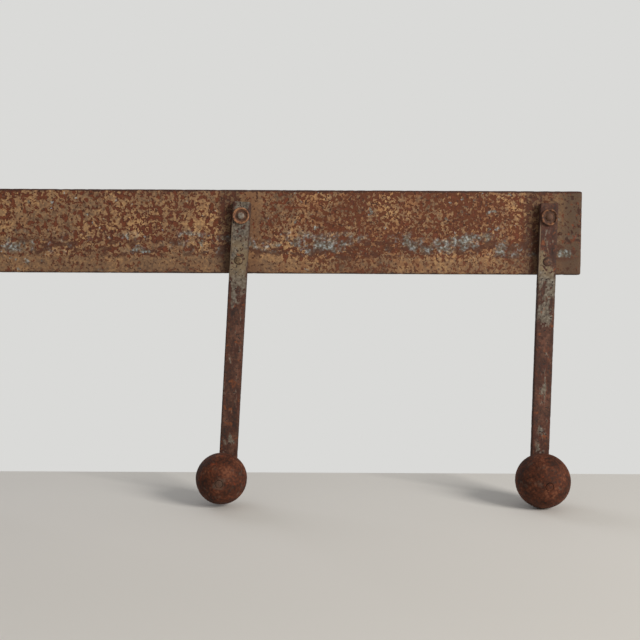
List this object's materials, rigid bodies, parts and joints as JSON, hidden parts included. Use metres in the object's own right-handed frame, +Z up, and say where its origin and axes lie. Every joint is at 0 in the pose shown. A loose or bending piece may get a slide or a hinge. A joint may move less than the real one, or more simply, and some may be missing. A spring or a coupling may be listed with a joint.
{
  "type": "railway semaphore signal",
  "caption": "Flat steel signal beam carrying a row of flat-bar arms, each turning on a riveted pivot pin and ending in a round iron balance weight.",
  "frame": {"origin": "middle of the beam's back face, at half the beam's height and half its length", "axes": "+X along the beam to the right as seen from the front, +Y out of the beam's back face, +Z up; the arms are on the -Y side and hang towards -Z"},
  "size_m": [0.9448, 0.0675, 0.2969],
  "materials": {
    "beam_steel": "worn ochre paint over pitted, rusted rolled steel",
    "strap_steel": "rusted flat bar with remains of grey-green paint",
    "ball_iron": "dark brown rusted cast iron",
    "pin_steel": "worn grey pin head with brown rust",
    "washer_steel": "bright orange-brown rust",
    "rivet_steel": "hammered and rusted"
  },
  "bodies": {
    "beam": {"beam": "beam_steel", "pivot_pin_1": "pin_steel", "spacer_washer_1": "washer_steel", "dished_washer_1": "washer_steel", "pivot_pin_2": "pin_steel", "spacer_washer_2": "washer_steel", "dished_washer_2": "washer_steel", "pivot_pin_3": "pin_steel", "spacer_washer_3": "washer_steel", "dished_washer_3": "washer_steel", "pivot_pin_4": "pin_steel", "spacer_washer_4": "washer_steel", "dished_washer_4": "washer_steel"},
    "arm_1": {"arm_strap_1": "strap_steel", "drive_rivet_1": "rivet_steel", "ball_weight_1": "ball_iron", "ball_rivet_1": "rivet_steel"},
    "arm_2": {"arm_strap_2": "strap_steel", "drive_rivet_2": "rivet_steel", "ball_weight_2": "ball_iron", "ball_rivet_2": "rivet_steel"},
    "arm_3": {"arm_strap_3": "strap_steel", "drive_rivet_3": "rivet_steel", "ball_weight_3": "ball_iron", "ball_rivet_3": "rivet_steel"},
    "arm_4": {"arm_strap_4": "strap_steel", "drive_rivet_4": "rivet_steel", "ball_weight_4": "ball_iron", "ball_rivet_4": "rivet_steel"}
  },
  "joints": [
    {"name": "arm_1_pivot", "type": "hinge", "parent": "beam", "child": "arm_1", "pos_m": [-0.4365, -0.0146, 0.0145], "axis": [0, -1, 0], "range_deg": [-7.6, 62.4]},
    {"name": "arm_2_pivot", "type": "hinge", "parent": "beam", "child": "arm_2", "pos_m": [-0.1455, -0.0146, 0.0145], "axis": [0, -1, 0], "range_deg": [-8, 62]},
    {"name": "arm_3_pivot", "type": "hinge", "parent": "beam", "child": "arm_3", "pos_m": [0.1455, -0.0146, 0.0145], "axis": [0, -1, 0], "range_deg": [-6.9, 63.1]},
    {"name": "arm_4_pivot", "type": "hinge", "parent": "beam", "child": "arm_4", "pos_m": [0.4365, -0.0146, 0.0145], "axis": [0, -1, 0], "range_deg": [-8.9, 61.1]}
  ]
}
